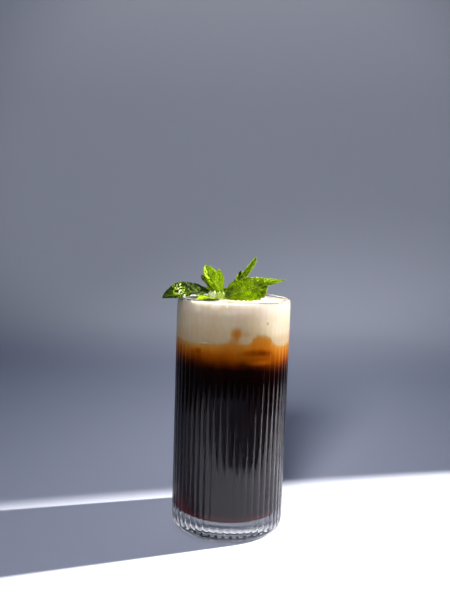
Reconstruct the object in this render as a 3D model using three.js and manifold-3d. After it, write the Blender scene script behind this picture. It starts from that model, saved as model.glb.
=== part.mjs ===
// Mint mojito coffee in a ribbed highball glass: dark coffee, an amber band where it meets
// the cream, cream up to just under the rim, and a sprig of mint lying on the cream.
// Millimetres, +Z up. The origin is the centre of the flat underside of the glass, and the
// side that a drinker sees first, with the large leaf to the right, faces -Y.

import * as THREE from "three";
import { mergeVertices } from "three/addons/utils/BufferGeometryUtils.js";
import Module from "manifold-3d";

// Glass
const GLASS_HEIGHT = 136;
const GLASS_RADIUS = 33.5;
const BORE_RADIUS = 31;
const BASE_THICKNESS = 11.5;
const FOOT_ROUND = 2.5;
const BORE_ROUND = 1.2;
const LIP_ROUND = 1.1;
const ROUND_STEPS = 3;
const LIP_STEPS = 4;

// Ribs down the outside, between a smooth foot and a smooth lip
const RIB_COUNT = 50;
const RIB_DEPTH = 0.45;
const RIB_FACETS = 3;
const RIB_FIRST_GROOVE_DEG = 4.6;
const RIB_START = 3;
const RIB_RUN_OUT = 1.5;
const LIP_BAND = 1.4;

// Drink
const GAP = 0.3;
const FILL_BELOW_RIM = 1.5;
const CREAM_EDGE = 112.8;
const COFFEE_EDGE = 99.2;
const DRINK_SECTORS = 48;
const DRINK_RINGS = 4;

// Waves of the two edges round the glass: size, how many, and the angle of the first peak
const CREAM_WAVES = [[2.2, 2, 20], [1.2, 3, 5], [1.6, 5, 28]];
const COFFEE_WAVES = [[-2.2, 1, 70], [0.9, 4, 10]];

// Mint stem and stalks
const STEM_RADIUS = 1.1;
const STEM_TOP = [-9.3, -4, 137.8];
const STEM_DEPTH = 7;
const STALK_RADIUS = 0.55;
const BUD_STALK_RADIUS = 0.9;
const STALK_INTO_LEAF = 0.12;
const STEM_HOLE_SIDES = 12;

// Mint leaves
const LEAF_THICKNESS = 0.5;
const TOOTH = 0.1;
const END_WIDTH = 0.16;
const RIPPLES = 2;
const RIPPLE_SHIFT = 1.3;
const SKEW_FULL = 0.6;
const LEAF_REST = 0.5;
const REST_SOFTNESS = 0.3;

const deg = THREE.MathUtils.degToRad;
const wasm = await Module();
wasm.setup();

const material = (name, color, roughness, extra = {}) =>
  new THREE.MeshStandardMaterial({ name, color, roughness, metalness: 0, ...extra });
const clearGlass = material("clear_glass", 0xdfe6e8, 0.05, { transparent: true, opacity: 0.35 });
const coffeeDark = material("coffee_dark", 0x160a05, 0.15);
const coffeeAmber = material("coffee_amber", 0x8a4d16, 0.2);
const creamPale = material("cream_pale", 0xe6dac4, 0.45);
const mintGreen = material("mint_green", 0x5f8f1e, 0.5);

// Solids and meshes

function toSolid(geometry) {
  const bare = geometry.clone();
  bare.deleteAttribute("normal");
  bare.deleteAttribute("uv");
  const merged = mergeVertices(bare, 1e-4);
  return new wasm.Manifold(new wasm.Mesh({
    numProp: 3,
    vertProperties: new Float32Array(merged.attributes.position.array),
    triVerts: new Uint32Array(merged.index.array),
  }));
}

function toGeometry(solid) {
  const { numProp, vertProperties, triVerts } = solid.getMesh();
  const points = new Float32Array((vertProperties.length / numProp) * 3);
  for (let i = 0; i < points.length / 3; i += 1) {
    for (let k = 0; k < 3; k += 1) points[3 * i + k] = vertProperties[numProp * i + k];
  }
  const geometry = new THREE.BufferGeometry();
  geometry.setAttribute("position", new THREE.BufferAttribute(points, 3));
  geometry.setIndex(new THREE.BufferAttribute(new Uint32Array(triVerts), 1));
  geometry.computeVertexNormals();
  return geometry;
}

function named(name, geometry, look) {
  const mesh = new THREE.Mesh(geometry, look);
  mesh.name = name;
  return mesh;
}

// A closed profile of [radius, height] pairs turned about the Z axis from an angle. The move
// callback shifts each point: it gets radius, angle from -Y towards +X, and height.
function turned(profile, sectors, startDeg, move) {
  const points = profile.map(([r, z]) => new THREE.Vector2(r, z));
  const geometry = new THREE.LatheGeometry(points, sectors);
  geometry.rotateX(Math.PI / 2);
  geometry.rotateZ(deg(startDeg));
  const position = geometry.attributes.position;
  for (let i = 0; i < position.count; i += 1) {
    const x = position.getX(i);
    const y = position.getY(i);
    const r = Math.hypot(x, y);
    const angle = Math.atan2(x, -y);
    const [newR, newZ] = move(r, angle, position.getZ(i));
    const scale = r > 1e-6 ? newR / r : 0;
    position.setXYZ(i, x * scale, y * scale, newZ);
  }
  return geometry;
}

// Points of a quarter or half round, from one angle to another, as [radius, height]
function arc(centreR, centreZ, radius, fromDeg, toDeg, steps) {
  return Array.from({ length: steps + 1 }, (_, i) => {
    const a = deg(fromDeg + ((toDeg - fromDeg) * i) / steps);
    return [centreR + radius * Math.cos(a), centreZ + radius * Math.sin(a)];
  });
}

// Glass

const wallRadius = GLASS_RADIUS - RIB_DEPTH / 2;

// 0 in a groove and 1 on the crest of a rib, along a round back
function ribHeight(angle) {
  const turn = ((angle - deg(RIB_FIRST_GROOVE_DEG)) / (2 * Math.PI)) * RIB_COUNT;
  const across = 2 * (turn - Math.floor(turn)) - 1;
  return 1 - across * across;
}

// How far the ribs have risen out of the smooth wall at a height
function ribStrength(z) {
  const fromFoot = (z - RIB_START) / RIB_RUN_OUT;
  const fromLip = (GLASS_HEIGHT - LIP_BAND - z) / RIB_RUN_OUT;
  return THREE.MathUtils.clamp(Math.min(fromFoot, fromLip), 0, 1);
}

function buildGlass() {
  const lipCentre = wallRadius - LIP_ROUND;
  const profile = [
    [0, 0],
    ...arc(wallRadius - FOOT_ROUND, FOOT_ROUND, FOOT_ROUND, -90, 0, ROUND_STEPS),
    [wallRadius, RIB_START],
    [wallRadius, RIB_START + RIB_RUN_OUT],
    [wallRadius, GLASS_HEIGHT - LIP_BAND - RIB_RUN_OUT],
    ...arc(lipCentre, GLASS_HEIGHT - LIP_ROUND, LIP_ROUND, 0, 180, LIP_STEPS),
    [BORE_RADIUS, GLASS_HEIGHT - 2 * LIP_ROUND],
    ...arc(BORE_RADIUS - BORE_ROUND, BASE_THICKNESS + BORE_ROUND, BORE_ROUND, 0, -90, ROUND_STEPS),
    [0, BASE_THICKNESS],
  ];
  // the sector edges fall on the grooves
  const sectors = RIB_COUNT * RIB_FACETS;
  const geometry = turned(profile, sectors, RIB_FIRST_GROOVE_DEG, (r, angle, z) => {
    const onWall = r > wallRadius - 1e-3;
    return [r + (onWall ? RIB_DEPTH * (ribHeight(angle) - 0.5) * ribStrength(z) : 0), z];
  });
  return named("glass", geometry, clearGlass);
}

// Drink

const drinkRadius = BORE_RADIUS - GAP;
const creamTop = GLASS_HEIGHT - FILL_BELOW_RIM;

// A sum of waves round the glass, flat on the axis and full at the wall
function waves(angle, r, terms) {
  const reach = r / drinkRadius;
  return terms.reduce(
    (sum, [size, count, peakDeg]) => sum + size * Math.cos(count * (angle - deg(peakDeg))) * reach,
    0,
  );
}

const creamEdge = (angle, r) => CREAM_EDGE + waves(angle, r, CREAM_WAVES);
const coffeeEdge = (angle, r) => COFFEE_EDGE + waves(angle, r, COFFEE_WAVES);

const ringRadii = Array.from({ length: DRINK_RINGS + 1 }, (_, i) => (drinkRadius * i) / DRINK_RINGS);

// A layer of the drink between two surfaces, each a function of angle and radius. The profile's
// heights only say which surface a point lies on: 0 for the lower and 1 for the upper.
function layer(name, under, over, look) {
  const profile = [
    ...ringRadii.map((r) => [r, 0]),
    ...[...ringRadii].reverse().map((r) => [r, 1]),
  ];
  const geometry = turned(profile, DRINK_SECTORS, 0, (r, angle, z) => [
    r,
    z < 0.5 ? under(angle, r) : over(angle, r),
  ]);
  return named(name, geometry, look);
}

// The coffee fills the round bottom of the bore
function buildCoffee() {
  const flat = BORE_RADIUS - BORE_ROUND;
  const round = BORE_ROUND - GAP;
  const floor = BASE_THICKNESS + GAP;
  const profile = [
    [0, floor],
    [flat / 2, floor],
    ...arc(flat, floor + round, round, -90, 0, ROUND_STEPS),
    ...[...ringRadii].reverse().map((r) => [r, COFFEE_EDGE]),
  ];
  const geometry = turned(profile, DRINK_SECTORS, 0, (r, angle, z) => [
    r,
    z > COFFEE_EDGE - 1e-3 ? coffeeEdge(angle, r) - GAP / 2 : z,
  ]);
  return named("coffee", geometry, coffeeDark);
}

function buildBlend() {
  return layer(
    "amber_blend",
    (angle, r) => coffeeEdge(angle, r) + GAP / 2,
    (angle, r) => creamEdge(angle, r) - GAP / 2,
    coffeeAmber,
  );
}

// The cream has a hole where the mint's stem stands in it
function buildCream() {
  const cream = layer(
    "cream",
    (angle, r) => creamEdge(angle, r) + GAP / 2,
    () => creamTop,
    creamPale,
  );
  const holeRadius = STEM_RADIUS + GAP;
  const halfHole = STEM_DEPTH + GAP;
  const hole = new THREE.CylinderGeometry(holeRadius, holeRadius, 2 * halfHole, STEM_HOLE_SIDES);
  hole.rotateX(Math.PI / 2);
  hole.translate(STEM_TOP[0], STEM_TOP[1], creamTop);
  cream.geometry = toGeometry(toSolid(cream.geometry).subtract(toSolid(hole)));
  return cream;
}

// Mint

// Leaves, each from its stalk end to its tip. face is the way its upper side looks, bow is
// how far the midrib arches towards it, fold lifts the two halves, lobe and taper set the
// outline near the stalk and near the tip, and wave ripples the edges. skew makes the right
// half, looking from the stalk, so much wider and the left one as much narrower. tail draws the
// right half in: it gives where that starts and ends along the leaf, and by how much.
const LEAVES = [
  // large, over the rim to the left
  { base: [-13.1, -3.5, 138.2], tip: [-40.5, -17, 135.5], face: [-0.15, -0.62, 0.8], width: 15,
    bow: 2.2, fold: 20, wave: 0.5, lobe: 0.95, taper: 0.8, steps: 16, across: 3 },
  // low and small under it
  { base: [-11.6, -8, 135.6], tip: [-21.6, -20.2, 135.4], face: [0, -0.3, 1], width: 8,
    bow: 0.7, fold: 8, wave: 0.15, lobe: 0.75, taper: 1.2, steps: 10, across: 2 },
  // three young ones standing up in the middle
  { base: [-10.9, -1, 138], tip: [-20.3, 5, 147.9], face: [0.5, -0.8, 0.4], width: 6,
    bow: 0.5, fold: 20, wave: 0.2, lobe: 1, taper: 0.8, steps: 10, across: 2 },
  { base: [-9.4, -1, 138.2], tip: [-17.8, 4, 154], face: [0.45, -1, 0.2], width: 9.5,
    bow: -0.8, fold: 24, wave: 0.4, lobe: 0.9, taper: 0.65, steps: 14, across: 3 },
  { base: [-7.8, -2, 138.6], tip: [-9.8, 1, 152.2], face: [-0.3, -1, 0.1], width: 7,
    bow: -0.8, fold: 24, wave: 0.3, lobe: 0.9, taper: 0.8, steps: 12, across: 3 },
  // the largest, to the right
  { base: [-5.4, -9, 135.8], tip: [29.9, -1, 146.9], face: [-0.1, -0.68, 0.8], width: 23,
    bow: 0.9, fold: 18, wave: 0.5, lobe: 0.8, taper: 1.2, skew: 0.36, tail: [0.58, 0.68, 0.85],
    steps: 20, across: 3 },
  // two behind it, the second thin and pointing up
  { base: [-5.6, -1, 136], tip: [3.9, 5, 151.2], face: [0.82, -0.6, 0.1], width: 17,
    bow: 0.8, fold: 26, wave: 0.4, lobe: 1, taper: 0.75, skew: 0.45, steps: 16, across: 3 },
  { base: [-5.2, 1.5, 137.2], tip: [12.2, 7, 159.8], face: [0.93, -0.5, 0.3], width: 6,
    bow: 0.3, fold: 35, wave: 0.2, lobe: 1.5, taper: 0.6, steps: 12, across: 2 },
  // two low ones across the cream at the back
  { base: [-10.2, -1, 137.2], tip: [-13.5, 21, 136.6], face: [0, 0.1, 1], width: 12,
    bow: 1.6, fold: 12, wave: 0.4, lobe: 0.9, taper: 0.9, steps: 10, across: 2 },
  { base: [-6.8, -1, 137], tip: [5, 19, 137.4], face: [0, 0.1, 1], width: 11,
    bow: 1.4, fold: 12, wave: 0.4, lobe: 0.9, taper: 0.9, steps: 10, across: 2 },
];

// Young leaves still folded into two round buds in the middle of the sprig
const BUDS = [
  { centre: [-12.4, -7, 137.5], radius: [3, 2.8, 2.6] },
  { centre: [-7.6, -7.2, 137.4], radius: [2.8, 2.6, 2.5] },
];
const BUD_FOLDS = 4;
const BUD_FOLD_DEPTH = 0.12;
const BUD_SIDES = 12;
const BUD_RINGS = 6;

// A height on a leaf, kept from sinking into the cream that it lies on
function resting(z) {
  const rest = creamTop + LEAF_REST;
  return rest + REST_SOFTNESS * Math.log1p(Math.exp((z - rest) / REST_SOFTNESS));
}

// One half's width at a share u of a leaf's length. side is 1 for the left half and -1 for the
// right one, looking from the stalk.
function halfWidth(leaf, u, side) {
  const { width, lobe, taper, skew = 0, tail: [tailStart, tailEnd, tail] = [0, 1, 0] } = leaf;
  const widest = lobe / (lobe + taper);
  const outline = (u / widest) ** lobe * ((1 - u) / (1 - widest)) ** taper;
  const lean = skew * THREE.MathUtils.smoothstep(u, 0, SKEW_FULL);
  const drawnIn = side < 0 ? 1 - tail * THREE.MathUtils.smoothstep(u, tailStart, tailEnd) : 1;
  return 0.5 * width * outline * (1 - side * lean) * drawnIn;
}

function leafSolid(leaf) {
  const { base, tip, face, bow, fold, wave, steps, across: halfCells } = leaf;
  const start = new THREE.Vector3(...base);
  const run = new THREE.Vector3(...tip).sub(start);
  const along = run.clone().normalize();
  const up = new THREE.Vector3(...face);
  up.addScaledVector(along, -up.dot(along)).normalize();
  const across = up.clone().cross(along);
  const lift = Math.sin(deg(fold));
  const spread = Math.cos(deg(fold));
  const columns = 2 * halfCells + 1;
  const last = columns - 1;
  const points = [];
  for (const side of [1, -1]) {
    for (let i = 0; i <= steps; i += 1) {
      const u = i / steps;
      const middle = start.clone().addScaledVector(run, u).addScaledVector(up, bow * 4 * u * (1 - u));
      const tangent = run.clone().addScaledVector(up, bow * 4 * (1 - 2 * u)).normalize();
      const normal = tangent.clone().cross(across);
      for (let j = -halfCells; j <= halfCells; j += 1) {
        const v = j / halfCells;
        const full = halfWidth(leaf, u, Math.sign(j)) * (i % 2 ? 1 - TOOTH : 1);
        const half = Math.max(END_WIDTH, full);
        const turn = 2 * Math.PI * RIPPLES * u + (v > 0 ? RIPPLE_SHIFT : 0);
        const ripple = wave * Math.sin(turn) * v * v * Math.sin(Math.PI * u);
        const point = middle.clone().addScaledVector(across, half * v * spread);
        point.addScaledVector(normal, half * Math.abs(v) * lift + ripple);
        point.z = resting(point.z);
        points.push(point.addScaledVector(normal, (side * LEAF_THICKNESS) / 2));
      }
    }
  }
  const at = (side, i, j) => side * (steps + 1) * columns + i * columns + j;
  const faces = [];
  const quad = (a, b, c, d) => faces.push(a, b, c, a, c, d);
  for (let i = 0; i < steps; i += 1) {
    for (let j = 0; j < last; j += 1) {
      // both sheets are split along the same diagonal
      quad(at(0, i, j), at(0, i + 1, j), at(0, i + 1, j + 1), at(0, i, j + 1));
      quad(at(1, i + 1, j + 1), at(1, i + 1, j), at(1, i, j), at(1, i, j + 1));
    }
    quad(at(0, i, 0), at(1, i, 0), at(1, i + 1, 0), at(0, i + 1, 0));
    quad(at(0, i + 1, last), at(1, i + 1, last), at(1, i, last), at(0, i, last));
  }
  for (let j = 0; j < last; j += 1) {
    quad(at(0, 0, j), at(0, 0, j + 1), at(1, 0, j + 1), at(1, 0, j));
    quad(at(0, steps, j), at(1, steps, j), at(1, steps, j + 1), at(0, steps, j + 1));
  }
  const geometry = new THREE.BufferGeometry().setFromPoints(points);
  geometry.setIndex(faces);
  return toSolid(geometry);
}

// A round stalk along a bent line
function stalk(points, radius) {
  const path = new THREE.CatmullRomCurve3(points.map((p) => new THREE.Vector3(...p)));
  const section = new THREE.Shape();
  section.absarc(0, 0, radius, 0, 2 * Math.PI, false);
  return toSolid(new THREE.ExtrudeGeometry(section, {
    steps: 3, curveSegments: 3, bevelEnabled: false, extrudePath: path,
  }));
}

function budSolid({ centre, radius }) {
  const geometry = new THREE.SphereGeometry(1, BUD_SIDES, BUD_RINGS);
  const position = geometry.attributes.position;
  for (let i = 0; i < position.count; i += 1) {
    const p = new THREE.Vector3().fromBufferAttribute(position, i);
    const round = Math.hypot(p.x, p.z);
    const crease = 1 - BUD_FOLD_DEPTH * round * (0.5 + 0.5 * Math.cos(BUD_FOLDS * Math.atan2(p.z, p.x)));
    position.setXYZ(i, centre[0] + p.x * crease * radius[0], centre[1] - p.z * crease * radius[1],
      centre[2] + p.y * radius[2]);
  }
  return toSolid(geometry);
}

function buildMint() {
  const foot = [STEM_TOP[0], STEM_TOP[1], creamTop - STEM_DEPTH];
  const parts = [stalk([foot, [STEM_TOP[0], STEM_TOP[1], creamTop], STEM_TOP], STEM_RADIUS)];
  for (const leaf of LEAVES) {
    const end = new THREE.Vector3(...leaf.base).lerp(new THREE.Vector3(...leaf.tip), STALK_INTO_LEAF);
    parts.push(leafSolid(leaf));
    parts.push(stalk([STEM_TOP, leaf.base, end.toArray()], STALK_RADIUS));
  }
  for (const bud of BUDS) {
    parts.push(budSolid(bud));
    const halfway = bud.centre.map((c, k) => (c + STEM_TOP[k]) / 2);
    parts.push(stalk([STEM_TOP, halfway, bud.centre], BUD_STALK_RADIUS));
  }
  const sprig = parts.reduce((whole, part) => whole.add(part));
  return named("mint_sprig", toGeometry(sprig), mintGreen);
}

const drink = new THREE.Group();
drink.add(buildGlass(), buildCoffee(), buildBlend(), buildCream(), buildMint());

export default drink;
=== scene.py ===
# Mint mojito coffee in a ribbed highball glass.
# Dark coffee fills the glass to about three quarters, an amber band of coffee mixed with cream lies
# on it, and lightly whipped cream fills the rest to just under the rim. A sprig of mint lies on top.
# The script is laid out as an add-on: each piece has its own operator, and the sizes and colours
# that a user would change are properties.

import math

import bpy
import numpy as np
from mathutils import Matrix, Vector, noise


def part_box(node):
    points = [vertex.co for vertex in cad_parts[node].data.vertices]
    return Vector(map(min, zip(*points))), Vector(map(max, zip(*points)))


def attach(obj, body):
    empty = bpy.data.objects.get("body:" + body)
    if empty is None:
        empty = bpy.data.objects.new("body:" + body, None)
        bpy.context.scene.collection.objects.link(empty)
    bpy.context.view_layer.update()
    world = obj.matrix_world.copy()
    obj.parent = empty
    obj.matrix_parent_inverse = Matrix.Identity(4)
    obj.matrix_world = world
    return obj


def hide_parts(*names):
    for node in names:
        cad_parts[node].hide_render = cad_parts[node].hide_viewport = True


bl_info = {
    "name": "Mint Mojito Coffee",
    "version": (1, 0, 0),
    "blender": (4, 5, 0),
    "location": "3D View > Sidebar > Drinks",
    "description": "Builds an iced coffee with cream and mint in a ribbed glass",
    "category": "Add Mesh",
}

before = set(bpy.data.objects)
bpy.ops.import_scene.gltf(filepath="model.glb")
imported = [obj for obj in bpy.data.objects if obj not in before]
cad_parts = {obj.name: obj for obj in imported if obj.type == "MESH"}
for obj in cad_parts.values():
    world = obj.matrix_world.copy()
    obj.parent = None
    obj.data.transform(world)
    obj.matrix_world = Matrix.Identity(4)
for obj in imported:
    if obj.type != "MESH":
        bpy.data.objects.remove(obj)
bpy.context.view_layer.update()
MM = 0.001

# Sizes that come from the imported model
GLASS_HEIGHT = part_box("glass")[1].z
CREAM_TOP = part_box("cream")[1].z
DRINK_GAP = 0.3 * MM
BORE_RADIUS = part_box("cream")[1].x + DRINK_GAP
BASE_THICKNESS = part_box("coffee")[0].z - DRINK_GAP

# The glass's ribs and rounds
CREST_RADIUS = 33.5 * MM
RIB_DEPTH = 0.45 * MM
WALL_RADIUS = CREST_RADIUS - RIB_DEPTH / 2
RIB_START = 3 * MM
RIB_RUN_OUT = 1.5 * MM
WALL_START = 10 * MM
FOOT_ROUND = 2.5 * MM
HOLLOW_RADIUS = 27 * MM
HOLLOW_DEPTH = 1.6 * MM
HOLLOW_POWER = 4
BORE_ROUND = 1.2 * MM
LIP_ROUND = 1.1 * MM
LIP_BAND = 1.4 * MM

# Rows that only split the long faces of the bore and of the base's inside
BORE_ROW = 60 * MM
BASE_ROWS = (20 * MM, 10 * MM)

# The drink reaches this far into the wall, so that no film of air shows
INTO_WALL = 0.05 * MM
DRINK_RADIUS = BORE_RADIUS + INTO_WALL
CREAM_EDGE = 112.8 * MM
COFFEE_EDGE = 99.2 * MM

# How much glass and coffee bend light
GLASS_IOR = 1.56
COFFEE_IOR = 1.34

# The stem stands in the cream here
STEM_TOP = Vector((-9.3, -4, 137.8)) * MM
STEM_RADIUS = 1.1 * MM
STEM_DEPTH = 7 * MM

# Camera, from the photograph's perspective on a frame of 450 by 600
FOCAL_PIXELS = 596.3
FRAME_HEIGHT = 600
SENSOR_MM = 36
CAMERA_PLACE = Vector((0, -351, 170.5)) * MM
CAMERA_YAW, CAMERA_PITCH, CAMERA_ROLL = -0.87, 5.95, 1.94

# Edges that turn by more than this many degrees are drawn sharp
SHARP_ANGLE = 40


# Small helpers

def linear(hex_colour):
    """An sRGB hex colour as linear red, green, blue and 1."""
    parts = [int(hex_colour[i:i + 2], 16) / 255 for i in (1, 3, 5)]
    return [c / 12.92 if c <= 0.04045 else ((c + 0.055) / 1.055) ** 2.4 for c in parts] + [1]


def smooth(low, high, value):
    """0 under low, 1 over high, and an even curve between."""
    t = np.clip((value - low) / (high - low), 0, 1)
    return t * t * (3 - 2 * t)


def add_node(tree, kind, settings=None):
    """Adds a node. settings are its attributes and its inputs. An input's setting is a value, or
    what feeds it: a socket, or a node for that node's first output."""
    node = tree.nodes.new(kind)
    for key, value in (settings or {}).items():
        if isinstance(value, bpy.types.Node):
            value = value.outputs[0]
        if isinstance(value, bpy.types.NodeSocket):
            tree.links.new(value, node.inputs[key])
        elif isinstance(key, str) and hasattr(node, key):
            setattr(node, key, value)
        else:
            node.inputs[key].default_value = value
    return node


def new_material(name):
    """A material with an empty node tree."""
    material = bpy.data.materials.new(name)
    material.use_nodes = True
    material.node_tree.nodes.clear()
    return material, material.node_tree


def new_object(name, points, faces, material):
    """A smooth mesh object at the origin, with its place in its points."""
    mesh = bpy.data.meshes.new(name)
    mesh.from_pydata([tuple(p) for p in points], [], faces)
    mesh.validate()
    mesh.materials.append(material)
    mesh.set_sharp_from_angle(angle=math.radians(SHARP_ANGLE))
    piece = bpy.data.objects.new(name, mesh)
    bpy.context.scene.collection.objects.link(piece)
    return piece


def stand_for(piece, node):
    """The piece rides on the part and takes the place of a CAD node."""
    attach(piece, "root")
    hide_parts(node)


def arc(centre_r, centre_z, radius, start, end, steps):
    """Points of a round, as (radius, height), from one angle in degrees to another."""
    angles = np.radians(np.linspace(start, end, steps + 1))
    return [(centre_r + radius * math.cos(a), centre_z + radius * math.sin(a)) for a in angles]


def ring_faces(rings, sectors):
    """Faces of a closed shape whose points are one end, its rings in order and the other end."""
    last = 1 + rings * sectors
    top = last - sectors
    faces = []
    for k in range(sectors):
        after = (k + 1) % sectors
        faces.append((0, 1 + after, 1 + k))
        for low in range(1, top, sectors):
            high = low + sectors
            faces.append((low + k, low + after, high + after, high + k))
        faces.append((top + k, top + after, last))
    return faces


def turned(rows, sectors, first_angle=0.0):
    """A closed shape of rings round the axis. Each row is a radius, and a height or a function
    that gives it for an angle, from -Y towards +X, and the radius. The first and last rows are
    single points on the axis."""
    angles = first_angle + np.linspace(0, 2 * math.pi, sectors, endpoint=False)
    points = [(0, 0, rows[0][1])]
    for radius, height in rows[1:-1]:
        for angle in angles:
            z = height(angle, radius) if callable(height) else height
            points.append((radius * math.sin(angle), -radius * math.cos(angle), z))
    points.append((0, 0, rows[-1][1]))
    return points, ring_faces(len(rows) - 2, sectors)


# Properties

class GlassSettings(bpy.types.PropertyGroup):
    rib_count: bpy.props.IntProperty(
        name="Ribs", description="How many ribs run round the glass", default=50, min=8)
    rib_depth: bpy.props.FloatProperty(
        name="Rib depth", description="From a groove to a crest", default=RIB_DEPTH,
        unit="LENGTH", precision=5)
    rib_squareness: bpy.props.FloatProperty(
        name="Rib squareness",
        description="2 for round ribs, more for flat backs and narrow grooves",
        default=2.4, min=1.5, max=8)
    first_groove: bpy.props.FloatProperty(
        name="First groove", description="Angle of a groove from the front, towards the right",
        default=math.radians(4.6), subtype="ANGLE")
    colour: bpy.props.StringProperty(
        name="Glass colour", description="Tint of the clear glass, as hex", default="#fbfdfc")


class DrinkSettings(bpy.types.PropertyGroup):
    coffee: bpy.props.StringProperty(
        name="Coffee", description="Colour of the black coffee, as hex", default="#120605")
    amber: bpy.props.StringProperty(
        name="Amber", description="Colour of coffee with a little cream, as hex",
        default="#aa620c")
    cream: bpy.props.StringProperty(
        name="Cream", description="Colour of the cream, as hex", default="#f5efe4")


class MintSettings(bpy.types.PropertyGroup):
    leaf: bpy.props.StringProperty(
        name="Leaf", description="Colour of a grown leaf, as hex", default="#3f5a05")
    young: bpy.props.StringProperty(
        name="Young leaf", description="Colour of a young leaf, as hex", default="#b4d206")
    pucker: bpy.props.FloatProperty(
        name="Pucker", description="How far the blade bulges between its veins",
        default=0.6 * MM, unit="LENGTH", precision=5)


class StageSettings(bpy.types.PropertyGroup):
    key_power: bpy.props.FloatProperty(
        name="Key light", description="Power of the spotlight on the right, in watts",
        default=150.0)
    fill_power: bpy.props.FloatProperty(
        name="Fill light", description="Power of the spotlight in front, in watts", default=58.0)
    back_power: bpy.props.FloatProperty(
        name="Backdrop light", description="Power of the spotlight on the sweep, in watts",
        default=12.0)
    sky: bpy.props.FloatProperty(
        name="Room light", description="Strength of the even light from all round", default=0.24)


# Glass

def clear_glass(settings):
    """Pressed soda-lime glass, fire-polished: clear, with faint waves from the mould."""
    material, tree = new_material("clear soda-lime glass")
    place = add_node(tree, "ShaderNodeTexCoord").outputs["Object"]
    waves = add_node(tree, "ShaderNodeTexNoise", {
        "Scale": 1 / (14 * MM), "Detail": 1.0, "Vector": place})
    bump = add_node(tree, "ShaderNodeBump", {
        "Strength": 0.25, "Distance": 0.05 * MM, "Height": waves})
    shader = add_node(tree, "ShaderNodeBsdfPrincipled", {
        "Base Color": linear(settings.colour), "Roughness": 0.0, "IOR": GLASS_IOR,
        "Transmission Weight": 1.0, "Normal": bump})
    add_node(tree, "ShaderNodeOutputMaterial", {"Surface": shader})
    return material


# What the rib tree takes in besides the wall's mesh
RIB_INPUTS = ("Count", "Depth", "Squareness", "First groove", "Foot", "Lip", "Run-out", "Wall")

# Points this near to the wall's radius, or outside it, are the wall's
WALL_SLACK = 0.02 * MM


def rib_tree(material):
    """Raises round-backed ribs out of the smooth wall, fading out at the foot and the lip."""
    tree = bpy.data.node_groups.new("Ribs", "GeometryNodeTree")
    sockets = tree.interface
    sockets.new_socket("Geometry", in_out="INPUT", socket_type="NodeSocketGeometry")
    for name in RIB_INPUTS:
        sockets.new_socket(name, in_out="INPUT", socket_type="NodeSocketFloat")
    sockets.new_socket("Geometry", in_out="OUTPUT", socket_type="NodeSocketGeometry")
    given = add_node(tree, "NodeGroupInput").outputs
    position = add_node(tree, "GeometryNodeInputPosition")
    x, y, z = add_node(tree, "ShaderNodeSeparateXYZ", {"Vector": position}).outputs
    outward = add_node(tree, "ShaderNodeCombineXYZ", {"X": x, "Y": y})
    radius = add_node(tree, "ShaderNodeVectorMath", {"operation": "LENGTH", 0: outward})
    known = {name: given[name] for name in RIB_INPUTS}
    known.update(x=x, y=y, z=z, radius=radius.outputs["Value"])
    # Steps: a name, a sum, and the numbers or the known things that go in. across is 0 in the
    # middle of a rib and 1 in a groove, and only the outer wall moves.
    for name, operation, *sources in (
        ("forward", "MULTIPLY", "y", -1.0),
        ("angle", "ARCTAN2", "x", "forward"),
        ("past groove", "SUBTRACT", "angle", "First groove"),
        ("turn", "DIVIDE", "past groove", 2 * math.pi),
        ("ribs", "MULTIPLY", "turn", "Count"),
        ("in rib", "FRACT", "ribs"),
        ("centred", "MULTIPLY_ADD", "in rib", 2.0, -1.0),
        ("across", "ABSOLUTE", "centred"),
        ("fall", "POWER", "across", "Squareness"),
        ("height", "SUBTRACT", 0.5, "fall"),
        ("rise", "MULTIPLY", "height", "Depth"),
        ("least", "SUBTRACT", "Wall", WALL_SLACK),
        ("outside", "GREATER_THAN", "radius", "least"),
        ("moving", "MULTIPLY", "rise", "outside"),
        ("not zero", "MAXIMUM", "radius", MM),
        ("share", "DIVIDE", "moving", "not zero"),
        ("above foot", "SUBTRACT", "z", "Foot"),
        ("below lip", "SUBTRACT", "Lip", "z"),
        ("from smooth", "MINIMUM", "above foot", "below lip"),
    ):
        inputs = {k: known.get(source, source) for k, source in enumerate(sources)}
        known[name] = add_node(tree, "ShaderNodeMath", {"operation": operation, **inputs})
    risen = add_node(tree, "ShaderNodeMapRange", {
        "interpolation_type": "SMOOTHSTEP", "Value": known["from smooth"],
        "From Max": given["Run-out"]})
    full = add_node(tree, "ShaderNodeVectorMath", {
        "operation": "SCALE", 0: outward, "Scale": known["share"]})
    offset = add_node(tree, "ShaderNodeVectorMath", {
        "operation": "SCALE", 0: full, "Scale": risen})
    moved = add_node(tree, "GeometryNodeSetPosition", {
        "Geometry": given["Geometry"], "Offset": offset})
    real = add_node(tree, "GeometryNodeRealizeInstances", {"Geometry": moved})
    looked = add_node(tree, "GeometryNodeSetMaterial", {"Material": material, "Geometry": real})
    add_node(tree, "NodeGroupOutput", {0: looked})
    return tree


def made_plain(piece):
    """Turns what a piece's modifiers make into its own mesh, and removes them."""
    bpy.context.view_layer.update()
    depsgraph = bpy.context.evaluated_depsgraph_get()
    mesh = bpy.data.meshes.new_from_object(piece.evaluated_get(depsgraph))
    if not mesh.polygons:
        raise RuntimeError(f"the modifiers of {piece.name} make no mesh")
    old = piece.data
    piece.modifiers.clear()
    piece.data = mesh
    bpy.data.meshes.remove(old)
    mesh.name = piece.name


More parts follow.
